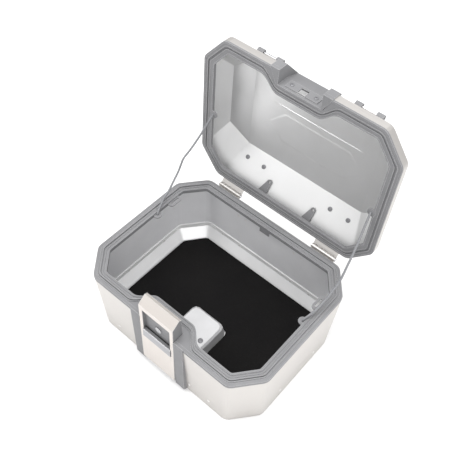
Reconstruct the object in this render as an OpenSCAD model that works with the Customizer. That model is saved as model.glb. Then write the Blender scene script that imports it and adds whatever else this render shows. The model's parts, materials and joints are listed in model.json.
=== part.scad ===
// Aluminium top case for a motorcycle, shown open. All sizes in millimetres.
// Origin: centre of the flat underside. +Z up, -Y is the latch side, +Y the hinge side.

/* [Case] */
// Outer width of the case at the rim
case_w = 500; // [460:1:540]
// Outer depth of the case at the rim
case_d = 390; // [370:1:420]
// Height of the plane where base and lid meet
base_h = 198; // [185:1:215]
// Corner cut measured along the width
corner_x = 53; // [45:1:60]
// Corner cut measured along the depth
corner_y = 64; // [56:1:72]
// Bend radius of the folded corners
bend_r = 22; // [10:1:30]
// Inward draft of the side walls at the bottom
draft_x = 6.4; // [0:0.1:10]
// Inward draft of the front and rear walls at the bottom
draft_y = 7.9; // [2:0.1:10]
// Thickness of the aluminium sheet
sheet_t = 1.5; // [1:0.1:2]

/* [Rim] */
// Width of the plastic rim seen from above
rim_w = 28; // [26:1:30]
// Distance of the rim's inner edge behind the front wall, behind the latch
web_d = 59; // [56:1:62]
// Height of the tongue that presses into the lid seal
tongue_h = 2.8; // [1:0.1:3]

/* [Lid] */
// Opening angle that the case is shown at
lid_angle = 92; // [0:1:92]
// Height of the lid's vertical edge above the rim plane
edge_h = 22.7; // [20:0.1:26]
// Height of the flat top panel above the rim plane
crown_h = 82.5; // [76:0.5:90]
// Half width of the flat top panel
crown_x = 166.2; // [150:0.2:180]
// Half depth of the flat top panel
crown_y = 125.6; // [115:0.2:132]
// Height of the fold between the steep and the shallow side facet
fold_h = 70.7; // [60:0.1:74]
// Half width at that fold
fold_x = 222; // [212:0.5:228]
// Half depth at that fold
fold_y = 82.9; // [75:0.1:95]

/* [Hinges] */
// Distance of the hinge axis behind the rear wall
hinge_back = 14; // [12:1:18]
// Distance of the hinge axis below the rim plane
hinge_drop = 10; // [8:1:12]
// Length of one hinge
hinge_len = 65; // [55:5:75]
// Distance of each hinge's middle from the centre line
hinge_x = 142.5; // [130:0.5:150]

/* [Latch] */
// Half width of the latch housing's side rails
rail_x = 76; // [70:1:82]
// Half width of the metal latch cover
cover_x = 49; // [46:1:52]
// Height of the cover's top edge
cover_top = 258; // [250:1:262]
// Largest angle of the release lever
lever_max = 35; // [20:1:40]

/* [Tie-down loops] */
// Distance of each loop's middle from the centre line
loop_x = 124.7; // [115:0.1:130]
// Distance between the two feet of a loop
loop_span = 50.6; // [46:0.2:56]
// Radius of the loop's bar
loop_r = 3; // [2.5:0.1:3.5]

/* [Floor] */
// Height of the floor tray's flange on the walls
flange_h = 42; // [36:1:50]
// Half width of the rubber mat
mat_x = 215; // [205:1:218]
// Half depth of the rubber mat
mat_y = 161; // [150:1:164]
// Thickness of the rubber mat
mat_t = 6; // [2:0.5:8]
// Height of the docking cover above the underside
dock_h = 38; // [32:1:42]

/* [Hidden] */
$fn = 32;

TRIM = "#8f9094";
METAL = "#e4e3e0";
WARM = "#dbd4cf";
STEEL = "#b9b9bb";
PALE = "#d8d8da";
BLACK = "#232122";
GAP = 0.05;

half_w = case_w / 2;
half_d = case_d / 2;
wall_top = base_h - 10;
rim_top = base_h - 0.5;
lid_bottom = base_h + 0.5;
axis_y = half_d + hinge_back;
axis_z = base_h - hinge_drop;

// How fast a corner cut shrinks when the outline is inset
cut_sum = corner_x + corner_y - norm([corner_x, corner_y]);
cut_kx = cut_sum / corner_y;
cut_ky = cut_sum / corner_x;

// Front S-curve of the rim: where it leaves the front edge and where it ends behind the latch
s_out = 98;
s_in = 50;
web_y = -half_d + web_d;
tongue_e = 12;
tongue_w = 3;
tongue_y = web_y - 10;

// Lid bevel, front and rear
bevel_a = atan2(crown_h - edge_h, half_d - crown_y);
loop_y = 150;
loop_z = base_h + edge_h + (half_d - loop_y) * tan(bevel_a);
foot_h = 15.5;
bar_z = 10.5;
tab_x = 65.5;
tab_up = 34;

// Pod in the lid that closes over the latch
pod_y = -161;
pod_wall = 3;
pod_h = 72;

// Latch mechanism
lever_y = -191;
lever_z = 134;
hook_y = -173;
hook_z = 178;
lock_x = 0;
lock_z = 184;
lock_r = 8;
nose_y = -160.5;
window_low = 125;
window_x = 40;
lever_x = 41.5;
window_mid = 156;
window_top = 229;

// Cord eyes and strap eyes under the base rim, and the cord eyes of the lid rim
eye_x = 217.5;
eye_y = 28.5;
strap_x = 216.5;
strap_y = 87;
lid_eye_x = 217.5;
lid_eye_y = 16.5;
cord_d = 5;

// Route of the left check cord, from the lid eye to the base eye
CORD = [
    [-217.5, 228.6, 380], [-217.5, 224, 380], [-219, 216, 371], [-224, 193, 341], [-230, 164, 309],
    [-234, 141, 290], [-235, 132, 275], [-235, 121, 257], [-233, 99, 237], [-231, 83, 224],
    [-228, 60, 214], [-223, 43, 205], [-218.4, 31, 199], [-217.5, 28.5, 194], [-217.5, 28.5, 190.4]
];

// ---------- outlines ----------

function turned(v, a) = [v.x * cos(a) - v.y * sin(a), v.x * sin(a) + v.y * cos(a)];

// Corner b between a and c rounded with radius r, as four points
function rounded(a, b, c, r) = let(
    u = (a - b) / norm(a - b), v = (c - b) / norm(c - b),
    half = acos(u * v) / 2, o = b + (u + v) / norm(u + v) * r / sin(half),
    start = b + u * r / tan(half) - o
) [for (k = [0 : 3]) o + turned(start, (180 - 2 * half) * k / 3)];

function octagon(hx, hy, cx, cy, r) = let(p = [
    [hx, -hy + cy], [hx, hy - cy], [hx - cx, hy], [-hx + cx, hy],
    [-hx, hy - cy], [-hx, -hy + cy], [-hx + cx, -hy], [hx - cx, -hy]
]) [for (i = [0 : 7]) each rounded(p[(i + 7) % 8], p[i], p[(i + 1) % 8], r)];

function bend(e) = max(8, bend_r - 0.45 * e);

// Case outline inset by e
function ring(e) = octagon(half_w - e, half_d - e, corner_x - cut_kx * e, corner_y - cut_ky * e, bend(e));

// Draft of the walls at height z
function drop_x(z) = draft_x * (1 - z / base_h);
function drop_y(z) = draft_y * (1 - z / base_h);
function wall_y(z) = half_d - drop_y(z);
function wall_x(z) = half_w - drop_x(z);

// Outline of the drafted wall at height z, inset by e
function wall_ring(e, z) = octagon(
    wall_x(z) - e, wall_y(z) - e, corner_x - cut_kx * e, corner_y - cut_ky * e, bend(e)
);

// Case outline inset by e, with a front that steps back to y behind the latch
function s_step(t) = (1 - cos(180 * t)) / 2;
function s_points(e, y, sign) = [
    for (k = [0 : 8]) let(t = sign < 0 ? k / 8 : 1 - k / 8)
        [sign * (s_out - (s_out - s_in) * t), -half_d + e + (y + half_d - e) * s_step(t)]
];
function web_ring(e, y) = let(r = ring(e)) concat(
    [for (i = [0 : 27]) r[i]], s_points(e, y, -1), s_points(e, y, 1), [for (i = [28 : 31]) r[i]]
);

function at_z(points, z) = [for (p = points) [p.x, p.y, z]];

// Solid through rings of equal point count
module loft(rings) {
    n = len(rings[0]);
    m = len(rings);
    polyhedron(
        points = [for (r = rings) for (p = r) p],
        faces = concat(
            [[for (i = [0 : n - 1]) i]],
            [[for (i = [0 : n - 1]) n * m - 1 - i]],
            [for (k = [0 : m - 2]) for (i = [0 : n - 1]) let(j = (i + 1) % n)
                [k * n + i, k * n + n + i, k * n + n + j, k * n + j]]
        )
    );
}

// Band between two outlines from z0 to z1
module band(outer, inner, z0, z1) {
    translate([0, 0, z0]) linear_extrude(z1 - z0) difference() {
        polygon(outer);
        polygon(inner);
    }
}

// Prism across the width: a profile in the YZ plane between x0 and x1
module prism_x(profile, x0, x1) {
    translate([x0, 0, 0]) rotate([90, 0, 90]) linear_extrude(x1 - x0) polygon(profile);
}

module rod_x(r, x0, x1, y, z) {
    translate([x0, y, z]) rotate([0, 90, 0]) cylinder(r = r, h = x1 - x0);
}

module both() {
    children();
    mirror([1, 0, 0]) children();
}

// From the closed lid to the shown position
module lid_pose() {
    translate([0, axis_y, axis_z]) rotate([-lid_angle, 0, 0]) translate([0, -axis_y, -axis_z]) children();
}

// Local frame on the outside of a drafted wall, +Z outward. side: 0 front, 1 right, 2 rear, 3 left
module wall_frame(side, u, z) {
    tilt_x = atan2(draft_x, base_h);
    tilt_y = atan2(draft_y, base_h);
    if (side == 0) translate([u, -wall_y(z), z]) rotate([90 + tilt_y, 0, 0]) children();
    if (side == 1) translate([wall_x(z), u, z]) rotate([0, 90 + tilt_x, 0]) children();
    if (side == 2) translate([u, wall_y(z), z]) rotate([-90 - tilt_y, 0, 0]) children();
    if (side == 3) translate([-wall_x(z), u, z]) rotate([0, -90 - tilt_x, 0]) children();
}

// Blind rivet or screw: flat head of radius r1 and height h1 above z = 0, shank of radius r0 down to -depth
module stud(r1, h1, r0, depth) {
    cylinder(r = r1, h = h1);
    translate([0, 0, h1]) cylinder(r1 = r1, r2 = r1 * 0.55, h = h1 * 0.7);
    translate([0, 0, -depth]) cylinder(r = r0, h = depth);
}

// ---------- base ----------

function floor_rivet_places() = concat(
    [for (s = [0, 2]) for (x = [-142, -84, 84, 142]) [s, x, 34]],
    [for (s = [1, 3]) for (y = [-63, 63]) [s, y, 34]]
);

module rear_rivet_places() {
    for (x = [-98, -76, 76, 98]) wall_frame(2, x, 140) children();
}

module hinge_rivet_places() {
    for (s = [-1, 1]) for (x = [-22, 0, 22]) translate([s * hinge_x + x, 0, 0]) children();
}

module latch_bolt_places() {
    for (x = [-62, 62]) for (z = [60, 150]) wall_frame(0, x, z) children();
}

module base_shell() {
    color(METAL) difference() {
        loft([at_z(wall_ring(0, 0), 0), at_z(wall_ring(0, wall_top), wall_top)]);
        loft([at_z(wall_ring(sheet_t, -1), -1), at_z(wall_ring(sheet_t, wall_top + 1), wall_top + 1)]);
        for (p = floor_rivet_places()) wall_frame(p[0], p[1], p[2])
            translate([0, 0, -10]) cylinder(r = 2 + GAP, h = 20);
        rear_rivet_places() translate([0, 0, -10]) cylinder(r = 2 + GAP, h = 20);
        hinge_rivet_places() wall_frame(2, 0, 173) translate([0, 0, -10]) cylinder(r = 2 + GAP, h = 20);
        latch_bolt_places() translate([0, 0, -10]) cylinder(r = 2.5 + GAP, h = 20);
        translate([-46 - GAP, -half_d - 5, 108 - GAP]) cube([92 + 2 * GAP, 20, 100]);
    }
}

function mat_ring(e) = octagon(mat_x - e, mat_y - e, 39 - 0.4 * e, 50 - 0.4 * e, 12);

module base_floor() {
    lean = sheet_t + GAP;
    color(PALE) difference() {
        loft([
            at_z(mat_ring(-1), 0), at_z(wall_ring(lean, 26), 26), at_z(wall_ring(lean, flange_h), flange_h)
        ]);
        loft([
            at_z(mat_ring(-0.5), 3), at_z(wall_ring(lean + 3, 30), 30),
            at_z(wall_ring(lean + 3, flange_h + 1), flange_h + 1)
        ]);
        // flat seat for the docking cover
        translate([-54, -half_d + 16, 3]) cube([108, 42, 40]);
        // pocket for the rack's latch post and the two hook slots
        translate([-14, -104, -1]) cube([28, 46, 5]);
        for (x = [-55, 55]) translate([x, 110, -1]) linear_extrude(5) {
            square([22, 8], center = true);
            translate([-11, 0]) circle(r = 4);
            translate([11, 0]) circle(r = 4);
        }
        for (p = floor_rivet_places()) wall_frame(p[0], p[1], p[2])
            translate([0, 0, -10]) cylinder(r = 2 + GAP, h = 20);
        dock_screw_places() translate([0, 0, -50]) cylinder(r = 2 + GAP, h = 70);
    }
}

module dock_frame() {
    color(STEEL) difference() {
        union() {
            both() translate([17, -160, 3]) cube([5, 100, 12]);
            translate([-22, -160, 3]) cube([44, 5, 12]);
        }
        translate([0, -157.5, 9]) rotate([90, 0, 0]) cylinder(r = 1.6, h = 10, center = true);
    }
}

module dock_catch() {
    color(STEEL) {
        prism_x([[-138, 6], [-92, 6], [-86, 10], [-86, 12], [-138, 12]], -16, 16);
        translate([0, -138, 9]) rotate([90, 0, 0]) cylinder(r = 1.5, h = 24);
    }
}

// Compression spring drawn as separate turns
module coil(r, wire, turns, pitch) {
    for (k = [0 : turns - 1]) translate([0, 0, k * pitch])
        rotate_extrude($fn = 24) translate([r, 0]) circle(r = wire, $fn = 14);
}

module dock_spring() {
    color(STEEL) translate([0, -139.2, 9]) rotate([90, 0, 0]) coil(2.7, 0.5, 9, 1.85);
}

function dock_ring(e, z) = let(x = 51 - e, y0 = -174 + e, y1 = -20 - e, c = 12) [
    [x, y0 + 4, z], [x, y1 - c, z], [x - c * 0.3, y1 - c * 0.3, z], [x - c, y1, z],
    [-x + c, y1, z], [-x + c * 0.3, y1 - c * 0.3, z], [-x, y1 - c, z], [-x, y0 + 4, z],
    [-x + 4, y0, z], [x - 4, y0, z]
];

module dock_screw_places() {
    for (x = [-30, 30]) for (y = [-92, -150]) translate([x, y, dock_h]) children();
}

module dock_cover() {
    color(PALE) difference() {
        union() {
            difference() {
                loft([dock_ring(0, 3), dock_ring(1, 12), dock_ring(4, dock_h - 5), dock_ring(9, dock_h)]);
                loft([dock_ring(2.5, 2), dock_ring(3.5, 11), dock_ring(6.5, dock_h - 7), dock_ring(11,
                    dock_h - 2.5)]);
            }
            dock_screw_places() translate([0, 0, 3 - dock_h]) cylinder(r = 5, h = dock_h - 4);
        }
        dock_screw_places() translate([0, 0, -50]) cylinder(r = 2 + GAP, h = 70);
    }
}

module dock_screws() {
    color(TRIM) dock_screw_places() difference() {
        stud(6.3, 1.5, 2, dock_h - 0.5);
        translate([0, 0, 1.2]) cylinder(r = 2.4, h = 5, $fn = 6);
    }
}

module floor_mat() {
    color(BLACK) translate([0, 0, 3]) linear_extrude(mat_t) difference() {
        polygon(mat_ring(0.5));
        polygon([
            [-53, -mat_y - 5], [53, -mat_y - 5], [53, -32], [49, -22], [39, -18],
            [-39, -18], [-49, -22], [-53, -32]
        ]);
    }
}

module floor_rivets() {
    color(STEEL) for (p = floor_rivet_places()) wall_frame(p[0], p[1], p[2]) {
        stud(3.6, 0.8, 2, sheet_t + 3 + GAP);
        translate([0, 0, -sheet_t - 3 - 2 * GAP]) mirror([0, 0, 1]) cylinder(r = 3, h = 0.9);
    }
}

module rear_rivets() {
    color(STEEL) rear_rivet_places() {
        stud(3.6, 0.8, 2, sheet_t);
        translate([0, 0, -sheet_t]) mirror([0, 0, 1]) cylinder(r = 3, h = 0.9);
    }
}

// Flat eyes that stand inward under the rim: a round one for the cord, a slotted one for straps
module strap_eyes() {
    color(TRIM) both() translate([0, 0, wall_top + 2.3]) linear_extrude(3) difference() {
        intersection() {
            union() {
                translate([eye_x, eye_y]) circle(r = 10);
                translate([strap_x, strap_y - 11]) circle(r = 8);
                translate([strap_x, strap_y + 11]) circle(r = 8);
                translate([strap_x - 8, strap_y - 11]) square([8, 22]);
                translate([strap_x, strap_y - 19]) square([8, 38]);
            }
            translate([180, -50]) square([half_w - rim_w - 180.05, 200]);
        }
        translate([eye_x, eye_y]) circle(r = 3.2);
        translate([strap_x, strap_y - 10]) circle(r = 2.6);
        translate([strap_x, strap_y + 10]) circle(r = 2.6);
        translate([strap_x - 2.6, strap_y - 10]) square([5.2, 20]);
    }
}

// Inner edge behind the latch for a ridge inset by e
function ridge_y(e) = web_y - (rim_w - e) * 0.77;

module base_rim() {
    color(TRIM) difference() {
        union() {
            band(ring(0), ring(3), wall_top, rim_top - 1);
            band(ring(2), ring(7), rim_top - 3, rim_top - 1);
            band(ring(1), web_ring(rim_w, web_y), rim_top - 4, rim_top - 2);
            for (e = [8, 23.5]) band(web_ring(e, ridge_y(e)), web_ring(e + 2.5, ridge_y(e + 2.5)),
                rim_top - 3, rim_top);
            band(web_ring(17.5, ridge_y(17.5)), web_ring(20, ridge_y(20)), rim_top - 3, rim_top - 0.5);
            band(ring(sheet_t + 1.1), ring(5.5), wall_top - 12, wall_top + 1);
            band(web_ring(rim_w - 2.5, web_y - 2.5), web_ring(rim_w, web_y), wall_top - 1, rim_top);
            band(
                web_ring(tongue_e, tongue_y - tongue_w), web_ring(tongue_e + tongue_w, tongue_y),
                rim_top - 3, rim_top + tongue_h
            );
            translate([-14, half_d - rim_w, wall_top - 14]) cube([28, 2.5, 15]);
        }
        // gap for the latch column
        translate([-cover_x - 0.3, -half_d - 1, wall_top - 20]) cube([2 * cover_x + 0.6, 30.3, 40]);
        hinge_rivet_places() wall_frame(2, 0, 173) translate([0, 0, -20]) cylinder(r = 4.2, h = 40);
        hinge_bodies() translate([-hinge_len / 2 - 1, half_d - 0.1, wall_top - 1]) cube([hinge_len + 2,
            5, 3]);
    }
}

// ---------- latch ----------

// Outer surface of the leaning metal cover
COVER = [[-200.5, 24], [-195.2, 242], [-175, cover_top], [-168, cover_top - 3]];

module latch_housing() {
    color(TRIM) difference() {
        union() {
            // side rails and back panel against the drafted wall
            difference() {
                union() {
                    both() prism_x([[-197.5, 10], [-194, 6], [-180, 6], [-180, base_h - 4], [-195,
                        base_h - 1],
                        [-197.5, base_h - 4]], cover_x + 0.5, rail_x);
                    prism_x([[-198.8, 22], [-180, 22], [-180, wall_top - 2], [-194.9, wall_top - 2]],
                        -cover_x - 0.5, cover_x + 0.5);
                }
                loft([at_z(wall_ring(-GAP, -1), -1), at_z(wall_ring(-GAP, wall_top + 12), wall_top + 12)]);
                translate([0, 0, wall_top - GAP]) linear_extrude(20) polygon(ring(-GAP));
            }
            // block above the rim
            prism_x([[-194.9, wall_top + 0.2], [-193.7, 241], [-175.6, 255.6], [-169, 252.8], [-166,
                wall_top + 0.2]],
                -cover_x + 0.5, cover_x - 0.5);
            // box behind the wall
            translate([-46, -194, 108]) cube([92, 34, wall_top - 109]);
            translate([-46, -194, wall_top - 2]) cube([92, 27.9, 3]);
        }
        // recess behind the window
        prism_x([[-205, window_low - 3], [-188, window_low - 3], [-188, window_top + 1], [-205,
            window_top + 1]],
            -lever_x - 1, lever_x + 1);
        // room for lever, cam and hook
        translate([-lever_x - 1, -190, 112]) cube([2 * lever_x + 2, 26, 37]);
        translate([-20, -186.4, 145]) cube([40, 23.4, 41.5]);
        translate([-10, -186.4, 186]) cube([20, 40, 41]);
        // bores
        translate([lock_x, -189, lock_z]) rotate([-90, 0, 0]) cylinder(r = lock_r + GAP, h = 14);
        rod_x(2 + GAP, -45.95, 45.95, lever_y, lever_z);
        rod_x(2 + GAP, -25, 25, hook_y, hook_z);
        latch_bolt_places() translate([0, 0, -GAP - 1]) cylinder(r = 2.5 + GAP, h = 2.7 + GAP);
    }
}

module latch_cover() {
    color(WARM) difference() {
        prism_x([
            COVER[0], [COVER[0].x + 1.5, COVER[0].y], [-193.7, 241.2], [-174.9, 256.2], [-168.2, 253.4],
            COVER[3], COVER[2], COVER[1]
        ], -cover_x, cover_x);
        translate([-window_x, -210, window_mid - 1]) cube([2 * window_x, 20, window_top - window_mid + 1]);
        translate([-lever_x - 1, -210, window_low]) cube([2 * lever_x + 2, 20, window_mid - window_low]);
    }
}

module latch_bolts() {
    color(STEEL) latch_bolt_places() {
        translate([0, 0, -sheet_t]) mirror([0, 0, 1]) cylinder(r = 5, h = 3.5);
        translate([0, 0, -sheet_t]) cylinder(r = 2.5, h = sheet_t + 1.5);
    }
}

module release_lever() {
    color(TRIM) difference() {
        union() {
            prism_x([[-198.6, 128], [-190, 127.5], [-188.4, 131], [-188.4, 137], [-191, 144], [-191.5,
                154.5],
                [-197.6, 155]], -lever_x, lever_x);
            prism_x([[-189.5, 130], [-172, 128], [-170, 131], [-172, 135], [-189.5, 138]], -9, 9);
        }
        rod_x(2.08, -50, 50, lever_y, lever_z);
        translate([-30, lever_y - 6.5, lever_z - 6.5]) cube([12, 20, 13]);
    }
}

module lever_plate() {
    color(STEEL) prism_x([[-200.6, 130], [-198.7, 129], [-197.75, 154], [-199.4, 153]], 1 - lever_x,
        lever_x - 1);
}

module lever_pin() {
    color(STEEL) rod_x(2, -45.9, 45.9, lever_y, lever_z);
}

module lever_spring() {
    color(STEEL) translate([-28, lever_y, lever_z]) rotate([0, 90, 0]) coil(3.2, 0.6, 6, 1.5);
}

module latch_hook() {
    color(STEEL) difference() {
        prism_x([[-176, 149], [-170, 149], [-170, 209], [nose_y, 210], [nose_y, 221], [-175, 223],
            [-176, 220]], -8, 8);
        rod_x(2.58, -10, 10, hook_y, hook_z);
    }
}

module hook_pin() {
    color(STEEL) {
        rod_x(2, -24.9, 24.9, hook_y, hook_z);
        rod_x(2.5, -9.8, 9.8, hook_y, hook_z);
    }
}

module hook_spring() {
    color(STEEL) translate([0, -169.4, 160]) rotate([-90, 0, 0]) coil(2.6, 0.5, 4, 1.8);
}

module lock_barrel() {
    color(STEEL) difference() {
        translate([lock_x, -191, lock_z]) rotate([-90, 0, 0]) cylinder(r = lock_r, h = 8.4);
        translate([lock_x, -192, lock_z]) rotate([-90, 0, 0]) cylinder(r = 5.55, h = 20);
    }
}

module lock_rotor() {
    color(WARM) difference() {
        translate([lock_x, -190.6, lock_z]) rotate([-90, 0, 0]) cylinder(r = 5.5, h = 8.3);
        translate([lock_x - 0.6, -191, lock_z - 3.5]) cube([1.2, 7, 7]);
    }
}

module lock_cam() {
    color(STEEL) translate([lock_x, -182.25, lock_z]) rotate([-90, 0, 0]) linear_extrude(2) {
        circle(r = 4.5);
        translate([0, -2.5]) square([15, 5]);
    }
}

// ---------- hinges ----------

// Five knuckles per hinge: three on the base leaf, two on the lid leaf
module knuckles(mine) {
    seg = hinge_len / 5;
    for (s = [-1, 1]) for (k = [0 : 4]) if ((k % 2 == 0) == mine) {
        x = s * hinge_x - hinge_len / 2 + k * seg;
        rod_x(6, x + 0.15, x + seg - 0.15, axis_y, axis_z);
    }
}

module knuckle_room(mine) {
    seg = hinge_len / 5;
    for (s = [-1, 1]) for (k = [0 : 4]) if ((k % 2 == 0) == mine) {
        x = s * hinge_x - hinge_len / 2 + k * seg;
        rod_x(6.6, x - 0.15, x + seg + 0.15, axis_y, axis_z);
    }
}

module hinge_bodies() {
    for (s = [-1, 1]) translate([s * hinge_x, 0, 0]) children();
}

module hinge_base_leaves() {
    low = 163;
    color(STEEL) difference() {
        union() {
            knuckles(true);
            difference() {
                hinge_bodies() prism_x([
                    [half_d + GAP, axis_z + 1], [wall_y(wall_top) + GAP, wall_top - 2], [wall_y(low)
                        + GAP, low],
                    [wall_y(low) + 2.6, low], [half_d + 2.4, axis_z - 6], [axis_y, axis_z - 6],
                    [axis_y, axis_z - 3.4], [half_d + 2.6, axis_z - 2], [half_d + 2.6, axis_z + 1]
                ], -hinge_len / 2, hinge_len / 2);
                knuckle_room(false);
            }
        }
        rod_x(2.5 + 0.02, -half_w, half_w, axis_y, axis_z);
        hinge_rivet_places() wall_frame(2, 0, 173) translate([0, 0, -5]) cylinder(r = 2 + GAP, h = 20);
    }
}

module hinge_base_rivets() {
    color(STEEL) hinge_rivet_places() wall_frame(2, 0, 173) {
        translate([0, 0, 3]) stud(3.4, 0.8, 2, 3 + sheet_t);
        translate([0, 0, -sheet_t]) mirror([0, 0, 1]) cylinder(r = 3.2, h = 0.9);
    }
}

module hinge_lid_leaves() {
    color(STEEL) lid_pose() difference() {
        union() {
            knuckles(false);
            difference() {
                hinge_bodies() prism_x([
                    [half_d + GAP, base_h + 18], [half_d + GAP, base_h + 1.6], [axis_y - 5, axis_z + 4.6],
                    [axis_y, axis_z + 3.4], [axis_y, axis_z + 6], [axis_y - 4, axis_z + 7.4],
                    [half_d + 2.6, base_h + 4], [half_d + 2.6, base_h + 18]
                ], -hinge_len / 2, hinge_len / 2);
                knuckle_room(true);
            }
        }
        rod_x(2.5 + GAP, -half_w, half_w, axis_y, axis_z);
        hinge_rivet_places() lid_rivet_frame() translate([0, 0, -5]) cylinder(r = 2 + GAP, h = 20);
    }
}

module lid_rivet_frame() {
    translate([0, half_d, base_h + 12]) rotate([-90, 0, 0]) children();
}

module hinge_lid_rivets() {
    color(STEEL) lid_pose() hinge_rivet_places() lid_rivet_frame() {
        translate([0, 0, 2.6]) stud(3.4, 0.8, 2, 2.6 + sheet_t);
        translate([0, 0, -sheet_t]) mirror([0, 0, 1]) cylinder(r = 3.2, h = 0.9);
    }
}

module hinge_pins() {
    color(STEEL) hinge_bodies() {
        rod_x(2.5, -hinge_len / 2 - 0.5, hinge_len / 2 + 0.5, axis_y, axis_z);
        rod_x(4, -hinge_len / 2 - 2, -hinge_len / 2 - 0.1, axis_y, axis_z);
        rod_x(4, hinge_len / 2 + 0.1, hinge_len / 2 + 2, axis_y, axis_z);
    }
}

// ---------- lid, modelled closed ----------

// Folded crown over the lid's straight edge, with every facet set in by t
module lid_block(t) {
    top = base_h + crown_h - t;
    fold = base_h + fold_h - 0.9 * t;
    fx = fold_x - 0.65 * t;
    fy = fold_y - 0.3 * t;
    cx = crown_x - 0.1 * t;
    cy = crown_y - 0.4 * t;
    hull() {
        translate([0, 0, lid_bottom - (t > 0 ? 3 : -4.5)])
            linear_extrude(edge_h - (t > 0 ? -3 : 4.5) - 0.5 - 0.47 * t) polygon(ring(t));
        polyhedron(
            points = [
                [fx, -fy, fold], [fx, fy, fold], [-fx, fy, fold], [-fx, -fy, fold],
                [cx, -cy, top], [cx, cy, top], [-cx, cy, top], [-cx, -cy, top]
            ],
            faces = [[0, 1, 2, 3], [7, 6, 5, 4], [0, 4, 5, 1], [1, 5, 6, 2], [2, 6, 7, 3], [3, 7, 4, 0]]
        );
    }
}

// Plan of the pod: wide at the front wall, narrower at its back
function pod_plan(e) = [
    [-rail_x + e, -half_d - 2 + e], [rail_x - e, -half_d - 2 + e], [58 - e, pod_y + pod_wall - e],
    [-58 + e, pod_y + pod_wall - e]
];

// Local frame on the outside of the bevel, +Z outward. side: -1 front, 1 rear
module bevel_frame(side, x) {
    translate([x, side * loop_y, loop_z]) rotate([-side * bevel_a, 0, 0]) children();
}

module foot_places(side) {
    for (s = [-1, 1]) for (x = [-loop_span / 2, loop_span / 2]) bevel_frame(side, s * loop_x + x)
        children();
}

// plan of the pod above the rim, each side moved out by e
function pod_outline(e) = [
    [-rail_x - e, -half_d - 3], [rail_x + e, -half_d - 3], [rail_x + e, -192], [60 + e, -166],
    [58 + e, pod_y + pod_wall - GAP], [60 + e, -140], [-60 - e, -140],
    [-58 - e, pod_y + pod_wall - GAP], [-60 - e, -166], [-rail_x - e, -192]
];
module pod_room(gap = 0) {
    back = pod_y + pod_wall + 0.1 - gap;
    intersection() {
        prism_x([[-half_d - 5, base_h - 5], [back, base_h - 5], [back, base_h + 36],
            [-145.5 - gap, base_h + pod_h], [-145.5 - gap, base_h + 95], [-half_d - 5, base_h + 95]],
            -rail_x + 3 + gap, rail_x - 3 - gap);
        translate([0, 0, base_h - 6]) linear_extrude(110) polygon(pod_outline(0.3 - gap));
    }
}

module lid_shell() {
    color(METAL) lid_pose() difference() {
        lid_block(0);
        lid_block(sheet_t);
        pod_room();
        for (side = [-1, 1]) foot_places(side) translate([0, 0, -10]) cylinder(r = 2 + GAP, h = 20);
        hinge_rivet_places() lid_rivet_frame() translate([0, 0, -10]) cylinder(r = 2 + GAP, h = 20);
    }
}

// Ear with a hole, leaning along the inside of the rear bevel
module strap_tab(x) {
    prism_x([[193, base_h + 13], [189, base_h + 13], [187, base_h + 19.6], [189, base_h + 21.4], [193,
        base_h + 17]],
        x - 18.2, x + 5.6);
    translate([x, half_d - 5.5, base_h + 18.7]) rotate([-bevel_a, 0, 0]) mirror([0, 1, 0]) linear_extrude(3)
        difference() {
            union() {
                polygon([[-19, 0], [6.5, 0], [6.5, tab_up], [-4.6, tab_up + 4.6]]);
                translate([0, tab_up]) circle(r = 6.5);
            }
            translate([0, tab_up]) circle(r = 3.2);
        }
}

module lid_rim() {
    color(TRIM) lid_pose() difference() {
        union() {
            band(ring(0), ring(3), lid_bottom, lid_bottom + 4.4);
            band(ring(1), web_ring(rim_w, web_y), lid_bottom + 1, lid_bottom + 3);
            band(web_ring(tongue_e - 2.5, tongue_y - tongue_w - 2.5), web_ring(tongue_e + 5.5,
                tongue_y + 2.5),
                lid_bottom, lid_bottom + 7);
            band(ring(sheet_t + 0.3), ring(4), lid_bottom, lid_bottom + 18);
            band(web_ring(rim_w - 2.5, web_y - 2.5), web_ring(rim_w, web_y), lid_bottom, lid_bottom + 8);
            for (x = [-tab_x, tab_x]) strap_tab(x);
            both() translate([lid_eye_x, lid_eye_y, lid_bottom]) {
                cylinder(r = 10, h = 3);
                translate([0, -10, 0]) cube([8, 20, 3]);
            }
        }
        // groove of the seal
        band(web_ring(tongue_e - 1, tongue_y - tongue_w - 1), web_ring(tongue_e + 4, tongue_y + 1),
            lid_bottom - 1, lid_bottom + 5.4);
        both() translate([lid_eye_x, lid_eye_y, lid_bottom - 1]) cylinder(r = 3.4, h = 5);
        // gap for the pod
        translate([0, 0, base_h - 2]) linear_extrude(100) polygon(pod_plan(0));
        hinge_rivet_places() lid_rivet_frame() translate([0, 0, -10]) cylinder(r = 3.6, h = 20);
    }
}

module lid_seal() {
    color(BLACK) lid_pose() band(
        web_ring(tongue_e - 0.9, tongue_y - tongue_w - 0.9), web_ring(tongue_e + 3.9, tongue_y + 0.9),
        lid_bottom + 2.6, lid_bottom + 5.3
    );
}

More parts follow.
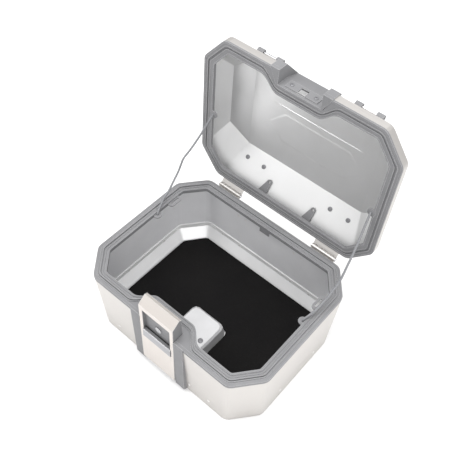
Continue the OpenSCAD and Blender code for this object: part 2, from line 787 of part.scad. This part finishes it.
module latch_pod() {
    z0 = lid_bottom;
    // side view of the pod: straight front edge, then a slope just above the lid's bevel
    side = [[-half_d - 2, z0], [pod_y + pod_wall, z0], [pod_y + pod_wall, base_h + 36], [-147,
        base_h + pod_h],
        [-151, base_h + pod_h + 1], [-half_d - 2, base_h + edge_h + 5]];
    color(TRIM) lid_pose() difference() {
        intersection() {
            prism_x(side, -rail_x, rail_x);
            translate([0, 0, z0]) linear_extrude(100) polygon(pod_outline(0));
        }
        // space for the latch column
        prism_x([[-half_d - 9, z0 - 5], [pod_y, z0 - 5], [pod_y, base_h + 35], [-150, base_h + pod_h + 3],
            [-half_d - 9, base_h + pod_h + 30]], -53.5, 53.5);
        // the lid's sheet and rim pass around the cheeks
        difference() {
            lid_block(-0.1);
            pod_room(0.1);
        }
        translate([0, 0, z0 - 1]) linear_extrude(9.2) difference() {
            translate([-100, -half_d - 5]) square([200, 80]);
            polygon(pod_plan(0.1));
        }
        // window for the hook's nose and screw holes
        translate([-11, pod_y - 5, base_h + 6]) cube([22, 20, 20]);
        keeper_screw_places() translate([0, 0, -10]) cylinder(r = 1.6 + GAP, h = 20);
    }
}

module keeper_screw_places() {
    for (x = [-30, 30]) translate([x, pod_y, base_h + 19]) rotate([90, 0, 0]) children();
}

module latch_keeper() {
    color(STEEL) lid_pose() difference() {
        translate([-40, pod_y - 2 - GAP, base_h + 7]) cube([80, 2, 24]);
        translate([-9.5, pod_y - 5, base_h + 8]) cube([19, 10, 17]);
        keeper_screw_places() translate([0, 0, -10]) cylinder(r = 1.6 + GAP, h = 20);
    }
}

module keeper_screws() {
    color("#55565a") lid_pose() keeper_screw_places() difference() {
        translate([0, 0, 2 + 2 * GAP]) stud(4.6, 1, 1.6, 4.6);
        translate([0, 0, 3]) cylinder(r = 1.8, h = 5, $fn = 6);
    }
}

module loop_feet(side) {
    color(TRIM) lid_pose() foot_places(side) difference() {
        union() {
            translate([-8, -7, GAP]) cube([16, 14, foot_h - 5]);
            translate([-8, 0, bar_z]) rotate([0, 90, 0]) cylinder(r = 7, h = 16);
        }
        translate([-9, 0, bar_z]) rotate([0, 90, 0]) cylinder(r = loop_r + 0.02, h = 18);
        translate([0, 0, -1]) cylinder(r = 2 + GAP, h = 6);
    }
}

module loop_bars(side) {
    color(STEEL) lid_pose() for (s = [-1, 1]) bevel_frame(side, s * loop_x)
        rod_x(loop_r, -loop_span / 2 - 6.3, loop_span / 2 + 6.3, 0, bar_z);
}

module loop_screws(side) {
    color("#55565a") lid_pose() foot_places(side) translate([0, 0, -sheet_t - GAP]) mirror([0, 0, 1])
        difference() {
        stud(5.6, 1.2, 2, 6);
        translate([0, 0, 1.1]) cylinder(r = 2.2, h = 5, $fn = 6);
    }
}

// ---------- check cords ----------

function cross_unit(a, b) = let(c = cross(a, b)) c / norm(c);

// Round tube along a route that runs in a plane close to YZ
module tube(route, d, sides) {
    n = len(route);
    rings = [
        for (i = [0 : n - 1]) let(
            t = route[min(i + 1, n - 1)] - route[max(i - 1, 0)],
            u = cross_unit(t, [1, 0.2, 0]),
            v = cross_unit(t, u)
        ) [for (k = [0 : sides - 1]) let(a = 360 * k / sides) route[i] + d / 2 * (cos(a) * v + sin(a) * u)]
    ];
    loft(rings);
}

// Smooth points between the hand-chosen ones
function spline(p, steps) = let(n = len(p)) concat(
    [for (i = [0 : n - 2]) let(a = p[max(i - 1, 0)], b = p[i], c = p[i + 1], d = p[min(i + 2, n - 1)])
        for (k = [0 : steps - 1]) let(t = k / steps)
            0.5 * (2 * b + (c - a) * t + (2 * a - 5 * b + 4 * c - d) * t * t + (3 * b - a - 3 * c + d)
                * t * t * t)],
    [p[n - 1]]
);

module check_cord_left() {
    color("#8a8a8c") tube(spline(CORD, 3), cord_d, 10);
}

module check_cord_right() {
    mirror([1, 0, 0]) check_cord_left();
}

// Crimped stops at the cord's ends
module cord_stops_base() {
    color(STEEL) both() translate([-eye_x, eye_y, 185]) cylinder(r = 4.5, h = 4.9);
}

module cord_stops_lid() {
    color(STEEL) lid_pose() both() translate([lid_eye_x, lid_eye_y, lid_bottom + 3.2])
        cylinder(r = 4.5, h = 5);
}

// ---------- parts ----------

base_shell();
base_floor();
base_rim();
floor_mat();
floor_rivets();
rear_rivets();
dock_frame();
dock_catch();
dock_spring();
dock_cover();
dock_screws();
latch_housing();
latch_cover();
latch_bolts();
release_lever();
lever_plate();
lever_pin();
lever_spring();
latch_hook();
hook_pin();
hook_spring();
lock_barrel();
lock_rotor();
lock_cam();
hinge_base_leaves();
hinge_lid_leaves();
hinge_pins();
hinge_base_rivets();
hinge_lid_rivets();
lid_shell();
lid_rim();
lid_seal();
latch_pod();
latch_keeper();
keeper_screws();
loop_feet(-1);  // loop_feet_front
loop_feet(1);  // loop_feet_rear
loop_bars(-1);  // loop_bars_front
loop_bars(1);  // loop_bars_rear
loop_screws(-1);  // loop_screws_front
loop_screws(1);  // loop_screws_rear
strap_eyes();
check_cord_left();
check_cord_right();
cord_stops_base();
cord_stops_lid();
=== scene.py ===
import json
import math

import bpy
from mathutils import Matrix, Vector


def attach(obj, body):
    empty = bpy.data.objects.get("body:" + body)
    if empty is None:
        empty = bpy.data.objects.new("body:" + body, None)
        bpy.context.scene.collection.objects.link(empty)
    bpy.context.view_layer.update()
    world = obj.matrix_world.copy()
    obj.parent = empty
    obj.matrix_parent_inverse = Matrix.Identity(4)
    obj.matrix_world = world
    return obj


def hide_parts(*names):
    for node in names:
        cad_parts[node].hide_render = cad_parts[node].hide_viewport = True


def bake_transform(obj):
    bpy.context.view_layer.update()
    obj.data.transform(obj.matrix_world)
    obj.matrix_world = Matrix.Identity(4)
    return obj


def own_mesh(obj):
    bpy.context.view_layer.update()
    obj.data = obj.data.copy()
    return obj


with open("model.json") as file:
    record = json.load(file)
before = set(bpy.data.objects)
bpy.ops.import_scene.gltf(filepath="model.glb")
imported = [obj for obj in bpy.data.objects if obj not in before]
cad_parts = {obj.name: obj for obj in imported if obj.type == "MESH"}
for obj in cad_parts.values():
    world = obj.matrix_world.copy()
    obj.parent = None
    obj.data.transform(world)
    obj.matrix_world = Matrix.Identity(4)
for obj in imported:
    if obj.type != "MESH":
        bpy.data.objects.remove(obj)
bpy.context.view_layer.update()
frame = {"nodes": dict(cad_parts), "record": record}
NODES = frame["nodes"]
MM = 0.001

# ---------- camera ----------

FOCAL_MM = 51.76
SENSOR_MM = 36.0
CAMERA_AT = Vector((534.7, -634.4, 1421.9)) * MM
CAMERA_RIGHT = Vector((0.755885, 0.654052, 0.029209))
CAMERA_UP = Vector((-0.530510, 0.585743, 0.612751))
CAMERA_BACK = Vector((0.383662, -0.478666, 0.789736))


def make_camera():
    data = bpy.data.cameras.new("camera")
    data.lens = FOCAL_MM
    data.sensor_width = SENSOR_MM
    data.clip_end = 50
    camera = bpy.data.objects.new("camera", data)
    bpy.context.scene.collection.objects.link(camera)
    turn = Matrix((CAMERA_RIGHT, CAMERA_UP, CAMERA_BACK)).transposed().to_4x4()
    camera.matrix_world = Matrix.Translation(CAMERA_AT) @ turn
    bpy.context.scene.camera = camera


make_camera()

# ---------- case dimensions, in millimetres, as in the CAD ----------

HINGE_Y, HINGE_Z, OPEN_DEG = 209, 188, 92
PANEL_Z = 279  # inner face of the closed lid's top
BASE_MIDDLE = Vector((0, 0, 0.1))  # metres, inside the base
LID_MIDDLE = Vector((0, 0.256, 0.395))  # metres, inside the open lid


def place_open_lid(obj):
    """Turns an object modelled on the closed lid to the shown position."""
    axis = Vector((0, HINGE_Y, HINGE_Z)) * MM
    turn = Matrix.Rotation(math.radians(-OPEN_DEG), 4, "X")
    obj.data.transform(Matrix.Translation(axis) @ turn @ Matrix.Translation(-axis))


# ---------- material helpers ----------

HIGHLIGHT_EDGE_RADIUS = 0.0012  # metres of each convex edge that gets the painted highlight
# colour of the painted highlight mixed onto convex edges
EDGE_HIGHLIGHT_TINT = (0.95, 0.95, 0.95)
FACING_MARGIN = 0.002  # metres; faces nearly edge-on to the middle stay outside faces


class Nodes:
    """Short spelling for building a node tree."""

    def __init__(self, name):
        self.mat = bpy.data.materials.new(name)
        self.mat.use_nodes = True
        self.tree = self.mat.node_tree
        self.shader = self.tree.nodes["Principled BSDF"]
        self.coords = self.tree.nodes.new("ShaderNodeTexCoord").outputs["Object"]

    def add(self, kind, **values):
        node = self.tree.nodes.new(kind)
        for key, value in values.items():
            if key in node.inputs.keys():
                node.inputs[key].default_value = value
            else:
                setattr(node, key, value)
        return node

    def link(self, source, target):
        self.tree.links.new(source, target)

    def stretched(self, scale):
        node = self.add("ShaderNodeMapping")
        node.inputs["Scale"].default_value = scale
        self.link(self.coords, node.inputs["Vector"])
        return node.outputs["Vector"]

    def noise(self, scale, detail=3.0, rough=0.5, stretch=(1, 1, 1)):
        node = self.add("ShaderNodeTexNoise", Scale=scale, Detail=detail, Roughness=rough)
        self.link(self.stretched(stretch), node.inputs["Vector"])
        return node.outputs["Fac"]

    def ramp(self, fac, stops):
        node = self.add("ShaderNodeValToRGB")
        ramp = node.color_ramp
        while len(ramp.elements) < len(stops):
            ramp.elements.new(0.5)
        for element, (at, color) in zip(ramp.elements, stops):
            element.position = at
            element.color = (*color, 1)
        self.link(fac, node.inputs["Fac"])
        return node.outputs["Color"]

    def span(self, fac, low, high, from_low=0.0, from_high=1.0):
        node = self.add("ShaderNodeMapRange")
        node.inputs["From Min"].default_value = from_low
        node.inputs["From Max"].default_value = from_high
        node.inputs["To Min"].default_value = low
        node.inputs["To Max"].default_value = high
        self.link(fac, node.inputs["Value"])
        return node.outputs["Result"]

    def mix(self, fac, a, b, blend="MIX"):
        node = self.add("ShaderNodeMix", data_type="RGBA", blend_type=blend)
        for socket, value in ((node.inputs[0], fac), (node.inputs[6], a), (node.inputs[7], b)):
            if hasattr(value, "is_output"):
                self.link(value, socket)
            elif isinstance(value, (int, float)):
                socket.default_value = value
            else:
                socket.default_value = (*value, 1)
        return node.outputs[2]

    def bump(self, height, strength, distance):
        node = self.add("ShaderNodeBump", Strength=strength, Distance=distance)
        self.link(height, node.inputs["Height"])
        if self.shader.inputs["Normal"].links:
            self.link(self.shader.inputs["Normal"].links[0].from_socket, node.inputs["Normal"])
        self.link(node.outputs["Normal"], self.shader.inputs["Normal"])

    def edge_highlight_mask(self, size):
        """1 on convex edges, 0 elsewhere; the mask for the painted edge highlight."""
        bevel = self.add("ShaderNodeBevel", samples=4, Radius=size)
        geometry = self.add("ShaderNodeNewGeometry")
        dot = self.add("ShaderNodeVectorMath", operation="DOT_PRODUCT")
        self.link(bevel.outputs["Normal"], dot.inputs[0])
        self.link(geometry.outputs["Normal"], dot.inputs[1])
        return self.span(dot.outputs["Value"], 1.0, 0.0, 0.9, 0.999)

    def painted_edge_highlight(self, tint, amount):
        """Lightens the rounded edges with a painted highlight, as if light catches them."""
        if not amount:
            return tint
        # painted highlight: white mixed onto the convex edges
        highlight_mix = self.add("ShaderNodeMath", operation="MULTIPLY")
        self.link(self.edge_highlight_mask(HIGHLIGHT_EDGE_RADIUS), highlight_mix.inputs[0])
        highlight_mix.inputs[1].default_value = amount
        return self.mix(highlight_mix.outputs[0], tint, EDGE_HIGHLIGHT_TINT)


def lin(r, g, b):
    """sRGB 0..255 to linear."""
    return tuple(c / 255 / 12.92 if c < 10.31 else ((c / 255 + 0.055) / 1.055) ** 2.4
                 for c in (r, g, b))


def plastic(name, color, rough=0.55, grain=900, grain_depth=0.00006, spread=0.06, metallic=0.0,
            edge=0.0):
    """Moulded plastic or coated sheet: fine grain, slight mottling, softly varying gloss."""
    n = Nodes(name)
    low = tuple(c * (1 - spread) for c in color)
    high = tuple(min(1, c * (1 + spread)) for c in color)
    tint = n.ramp(n.noise(14, 4), [(0.35, low), (0.65, high)])
    # edge sets the strength of the painted highlight on convex edges
    n.link(n.painted_edge_highlight(tint, edge), n.shader.inputs["Base Color"])
    n.link(n.span(n.noise(60, 3), rough - 0.06, rough + 0.06), n.shader.inputs["Roughness"])
    n.shader.inputs["Specular IOR Level"].default_value = 0.45
    n.shader.inputs["Metallic"].default_value = metallic
    n.bump(n.noise(grain, 2), 0.35, grain_depth)
    return n.mat


def brushed(name, color, rough=0.32, stretch=(6, 900, 900), spread=0.07, metallic=1.0, depth=0.00003,
            edge=0.0):
    """Brushed or drawn metal: streaks along one axis, cloudy reflections."""
    n = Nodes(name)
    streak = n.noise(1.0, 3, 0.6, stretch)
    cloud = n.noise(7, 3)
    low = tuple(c * (1 - spread) for c in color)
    high = tuple(min(1, c * (1 + spread)) for c in color)
    tint = n.ramp(streak, [(0.3, low), (0.7, high)])
    tint = n.mix(n.span(cloud, 0.0, 0.35), tint, tuple(c * 0.93 for c in color))
    # edge sets the strength of the painted highlight on convex edges
    n.link(n.painted_edge_highlight(tint, edge), n.shader.inputs["Base Color"])
    n.link(n.span(streak, rough - 0.07, rough + 0.09), n.shader.inputs["Roughness"])
    n.shader.inputs["Metallic"].default_value = metallic
    n.bump(streak, 0.25, depth)
    return n.mat


def rubber_mat():
    n = Nodes("mat_rubber")
    speck = n.add("ShaderNodeTexVoronoi", Scale=420.0)
    n.link(n.coords, speck.inputs["Vector"])
    dots = n.span(speck.outputs["Distance"], 1.0, 0.0, 0.10, 0.34)
    keep = n.span(n.noise(260, 2), 0.0, 1.0, 0.44, 0.60)
    fleck = n.add("ShaderNodeMath", operation="MULTIPLY")
    n.link(dots, fleck.inputs[0])
    n.link(keep, fleck.inputs[1])
    base = n.ramp(n.noise(9, 4), [(0.3, lin(10, 9, 10)), (0.7, lin(16, 15, 15))])
    n.link(n.mix(fleck.outputs[0], base, lin(30, 29, 29)), n.shader.inputs["Base Color"])
    n.link(n.span(n.noise(300, 3), 0.68, 0.92), n.shader.inputs["Roughness"])
    n.shader.inputs["Specular IOR Level"].default_value = 0.15
    n.bump(n.noise(700, 4, 0.7), 0.6, 0.0003)
    return n.mat


def cord_cover():
    n = Nodes("cord_cover")
    wave = n.add("ShaderNodeTexWave", Scale=420.0, Distortion=1.5)
    wave.bands_direction = "DIAGONAL"
    n.link(n.coords, wave.inputs["Vector"])
    braid = n.ramp(wave.outputs["Fac"], [(0.2, lin(96, 97, 100)), (0.8, lin(146, 147, 150))])
    n.link(braid, n.shader.inputs["Base Color"])
    n.shader.inputs["Roughness"].default_value = 0.62
    n.bump(wave.outputs["Fac"], 0.5, 0.0002)
    return n.mat


# edge= is the strength of the painted highlight on each material's convex edges
MATERIALS = {
    "shell": brushed("shell_aluminium", lin(201, 198, 195), 0.5, (5, 700, 700), 0.03),
    "inner_shell": plastic("inner_coating", lin(212, 212, 214), 0.6, 1200, 0.00003, 0.03),
    "inner_lid": plastic("lid_coating", lin(219, 219, 219), 0.36, 1200, 0.00002, 0.02, 0.55),
    "pale": plastic("pale_coating", lin(240, 240, 240), 0.4, 1200, 0.00002, 0.02, 0.35, edge=0.9),
    "trim": plastic("trim_plastic", lin(121, 121, 123), 0.6, edge=0.25),
    "cover_plastic": plastic("cover_plastic", lin(192, 192, 193), 0.42, metallic=0.25, edge=0.8),
    "cover": brushed("latch_cover", lin(208, 202, 197), 0.4, (700, 700, 5), 0.04, 0.8, edge=0.8),
    "steel": brushed("steel", lin(196, 196, 198), 0.3, (60, 900, 900), 0.06),
    "lever": brushed("lever_metal", lin(158, 158, 161), 0.34, (4, 600, 600), 0.1, 0.9, edge=0.6),
    "hinge": brushed("hinge_metal", lin(196, 193, 190), 0.42, (5, 420, 420), 0.25, 0.8),
    "rivet": plastic("rivet_metal", lin(214, 213, 211), 0.35, 1200, 0.00002, 0.03, 0.2),
    "dark_screw": brushed("screw_steel", lin(128, 128, 131), 0.45, (300, 300, 300), 0.1, 0.5),
    "mat": rubber_mat(),
    "seal": plastic("seal_rubber", lin(122, 122, 124), 0.8),
    "cord": cord_cover(),
}


def paint(obj, key):
    obj.data.materials.clear()
    obj.data.materials.append(MATERIALS[key])


def soften(obj, width_mm, segments=2, angle=32):
    """Rounds the sharp edges and shades the rest smooth."""
    bevel = obj.modifiers.new("edge", "BEVEL")
    bevel.width = width_mm * MM
    bevel.segments = segments
    bevel.limit_method = "ANGLE"
    bevel.angle_limit = math.radians(angle)
    bevel.harden_normals = True
    bevel.use_clamp_overlap = True


def line_inside(node_name, inner_key, middle):
    """Gives the faces that look at the middle of the case the inner coating."""
    obj = NODES[node_name]
    obj.data.materials.append(MATERIALS[inner_key])
    place = obj.matrix_world
    for polygon in obj.data.polygons:
        normal = place.to_3x3() @ polygon.normal
        if normal.dot(middle - place @ polygon.center) > FACING_MARGIN:
            polygon.material_index = 1


SLOTS = {s["node"]: s["material_slot"] for s in frame["record"]["subparts"]}
LOOKS = {
    "floor_rivets": "rivet", "rear_rivets": "rivet", "latch_keeper": "trim", "lever_plate": "lever",
    "hinge_base_leaves": "hinge", "hinge_lid_leaves": "hinge",
}
for node_name, node in NODES.items():
    paint(node, LOOKS.get(node_name, SLOTS[node_name]))

line_inside("base_shell", "inner_shell", BASE_MIDDLE)
line_inside("lid_shell", "inner_lid", LID_MIDDLE)

# ---------- check cords ----------

# Left cord from its eye in the lid to its eye in the base, in mm; the right one mirrors it.
CORD_ROUTE = [
    (-217.5, 228.6, 380), (-217.5, 224, 380), (-219, 216, 371), (-224, 193, 341), (-230, 164, 309),
    (-234, 141, 290), (-235, 132, 275), (-235, 121, 257), (-233, 99, 237), (-231, 83, 224),
    (-228, 60, 214), (-223, 43, 205), (-218.4, 31, 199), (-217.5, 28.5, 194), (-217.5, 28.5, 190.4),
]
CORD_RADIUS = 2.5
CORD_STEPS = 6  # points for each stretch of the route


def catmull(points, steps):
    """Smooth curve through points."""
    out = []
    last = len(points) - 1
    for i in range(last):
        a, b = points[max(i - 1, 0)], points[i]
        c, d = points[i + 1], points[min(i + 2, last)]
        for k in range(steps):
            t = k / steps
            out.append(0.5 * (2 * b + (c - a) * t + (2 * a - 5 * b + 4 * c - d) * t * t
                              + (3 * b - a - 3 * c + d) * t ** 3))
    out.append(points[-1])
    return out


def tube_mesh(name, path, radius, sides=12, side_axis=Vector((1, 0.2, 0))):
    """A capped round tube along path, which never runs along side_axis."""
    verts, faces = [], []
    for i, p in enumerate(path):
        tangent = (path[min(i + 1, len(path) - 1)] - path[max(i - 1, 0)]).normalized()
        u = tangent.cross(side_axis).normalized()
        v = tangent.cross(u).normalized()
        for k in range(sides):
            a = 2 * math.pi * k / sides
            verts.append(p + radius * (math.cos(a) * v + math.sin(a) * u))
    for i in range(len(path) - 1):
        for k in range(sides):
            j = (k + 1) % sides
            faces.append((i * sides + k, i * sides + j, (i + 1) * sides + j, (i + 1) * sides + k))
    faces.append(tuple(range(sides - 1, -1, -1)))
    faces.append(tuple((len(path) - 1) * sides + k for k in range(sides)))
    mesh = bpy.data.meshes.new(name)
    mesh.from_pydata([tuple(v) for v in verts], [], faces)
    obj = bpy.data.objects.new(name, mesh)
    bpy.context.scene.collection.objects.link(obj)
    for polygon in mesh.polygons:
        polygon.use_smooth = len(polygon.vertices) == 4
    return obj


def make_cord(side):
    sign = -1 if side == "left" else 1
    route = [Vector((-sign * x, y, z)) * MM for x, y, z in CORD_ROUTE]
    path = catmull(route, CORD_STEPS)
    cord = tube_mesh(f"cord_{side}", path, CORD_RADIUS * MM)
    paint(cord, "cord")
    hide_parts(f"check_cord_{side}")
    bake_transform(cord)


make_cord("left")
make_cord("right")

# ---------- springs ----------

SPRING_STEPS = 18  # points for each turn


def make_spring(node_name, start, along, across, radius, wire, turns, length):
    """A wound spring in place of the CAD's stack of rings; start and sizes in mm."""
    along, across = Vector(along), Vector(across)
    third = along.cross(across)
    samples = SPRING_STEPS * turns
    path = []
    for k in range(samples + 1):
        angle = 2 * math.pi * k / SPRING_STEPS
        ring = radius * (math.cos(angle) * across + math.sin(angle) * third)
        path.append((Vector(start) + along * (length * k / samples) + ring) * MM)
    spring = tube_mesh(node_name + "_wound", path, wire * MM, 8, along)
    paint(spring, "steel")
    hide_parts(node_name)
    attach(spring, "base")
    return spring


dock_spring = make_spring("dock_spring", (0, -139.2, 9), (0, -1, 0), (1, 0, 0), 2.7, 0.5, 9, 14.8)
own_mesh(dock_spring)
hook_spring = make_spring("hook_spring", (0, -169.2, 160), (0, 1, 0), (1, 0, 0), 2.6, 0.5, 4, 5.2)
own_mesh(hook_spring)
make_spring("lever_spring", (-28, -191, 134), (1, 0, 0), (0, 1, 0), 3.2, 0.6, 6, 7.5)

# ---------- fields pressed into the lid's top panel ----------

PANEL_OVERLAP = 0.05  # mm that a field starts inside the panel


def pressed(name, outer, inner, rise_mm, steps=5):
    """Raised field on the inside of the lid's top panel, outlines in mm on the closed lid."""
    rings = []
    for k in range(steps + 1):
        t = k / steps
        drop = rise_mm * (1 - math.cos(math.pi * t)) / 2
        z = PANEL_Z + PANEL_OVERLAP - drop
        rings.append([(a[0] + (b[0] - a[0]) * t, a[1] + (b[1] - a[1]) * t, z)
                      for a, b in zip(outer, inner)])
    n = len(outer)
    faces = [tuple(range(n)), tuple(reversed(range(steps * n, steps * n + n)))]
    for k in range(steps):
        for i in range(n):
            j = (i + 1) % n
            faces.append((k * n + i, k * n + n + i, k * n + n + j, k * n + j))
    mesh = bpy.data.meshes.new(name)
    mesh.from_pydata([tuple(c * MM for c in p) for ring in rings for p in ring], [], faces)
    mesh.update()
    obj = bpy.data.objects.new(name, mesh)
    bpy.context.scene.collection.objects.link(obj)
    place_open_lid(obj)
    for polygon in mesh.polygons:
        polygon.use_smooth = len(polygon.vertices) == 4
    paint(obj, "inner_lid")
    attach(obj, "lid")


def long_hexagon(x, y, half_long, half_tip, half_high):
    """Outline with a point at each end, centred on x, y."""
    return [(x - half_long, y - half_high), (x + half_long, y - half_high), (x + half_tip, y),
            (x + half_long, y + half_high), (x - half_long, y + half_high), (x - half_tip, y)]


pressed("lid_crease", long_hexagon(14, -39, 108, 122, 2.6), long_hexagon(14, -39, 106, 118, 0.3), 1.3)
pressed("lid_field", long_hexagon(14, 19, 90, 130, 43), long_hexagon(14, 19, 85, 123, 37), 0.6)

# ---------- softened edges of the CAD nodes, widths in mm ----------

for node_name, width in {
    "base_rim": 0.8, "lid_rim": 0.8, "latch_housing": 1.2, "latch_cover": 1.0, "latch_pod": 1.5,
    "release_lever": 0.8, "dock_cover": 2.5, "base_floor": 1.2, "floor_mat": 0.8, "lid_shell": 1.0,
    "base_shell": 0.6, "loop_feet_front": 1.2, "loop_feet_rear": 1.2, "lever_plate": 0.5,
    "hinge_base_leaves": 0.4, "hinge_lid_leaves": 0.4, "latch_keeper": 0.4,
}.items():
    soften(NODES[node_name], width)

# ---------- room and light ----------

FLOOR_HALF = 6.0  # metres
FLOOR_DROP = 0.0006  # metres below the case, so that the two faces don't flicker
WORLD_STRENGTH = 0.84
LIGHT_TARGET = (0, 0, 0.2)
LIGHTS = (  # name, place, size in metres, watts
    ("key", (-1.15, -1.25, 2.5), 1.1, 22),
    ("fill", (2.2, -1.0, 1.4), 1.6, 24),
    ("top", (0, 0.2, 2.8), 1.6, 52),
)


def make_stage():
    mesh = bpy.data.meshes.new("floor")
    s = FLOOR_HALF
    mesh.from_pydata([(-s, -s, 0), (s, -s, 0), (s, s, 0), (-s, s, 0)], [], [(0, 1, 2, 3)])
    floor = bpy.data.objects.new("floor", mesh)
    floor.location.z = -FLOOR_DROP
    bpy.context.scene.collection.objects.link(floor)
    n = Nodes("studio_floor")
    n.shader.inputs["Base Color"].default_value = (0.93, 0.93, 0.93, 1)
    n.shader.inputs["Roughness"].default_value = 0.9
    n.shader.inputs["Specular IOR Level"].default_value = 0.1
    mesh.materials.append(n.mat)


def area_light(name, at, size, power):
    data = bpy.data.lights.new(name, "AREA")
    data.shape = "RECTANGLE"
    data.size = data.size_y = size
    data.energy = power
    lamp = bpy.data.objects.new(name, data)
    lamp.location = at
    lamp.rotation_euler = (Vector(LIGHT_TARGET) - Vector(at)).to_track_quat("-Z", "Y").to_euler()
    bpy.context.scene.collection.objects.link(lamp)


def make_light():
    world = bpy.data.worlds.new("studio")
    world.use_nodes = True
    background = world.node_tree.nodes["Background"]
    background.inputs["Color"].default_value = (1, 1, 1, 1)
    background.inputs["Strength"].default_value = WORLD_STRENGTH
    bpy.context.scene.world = world
    for name, at, size, power in LIGHTS:
        area_light(name, at, size, power)


make_stage()
make_light()
bpy.context.scene.view_settings.view_transform = "Standard"
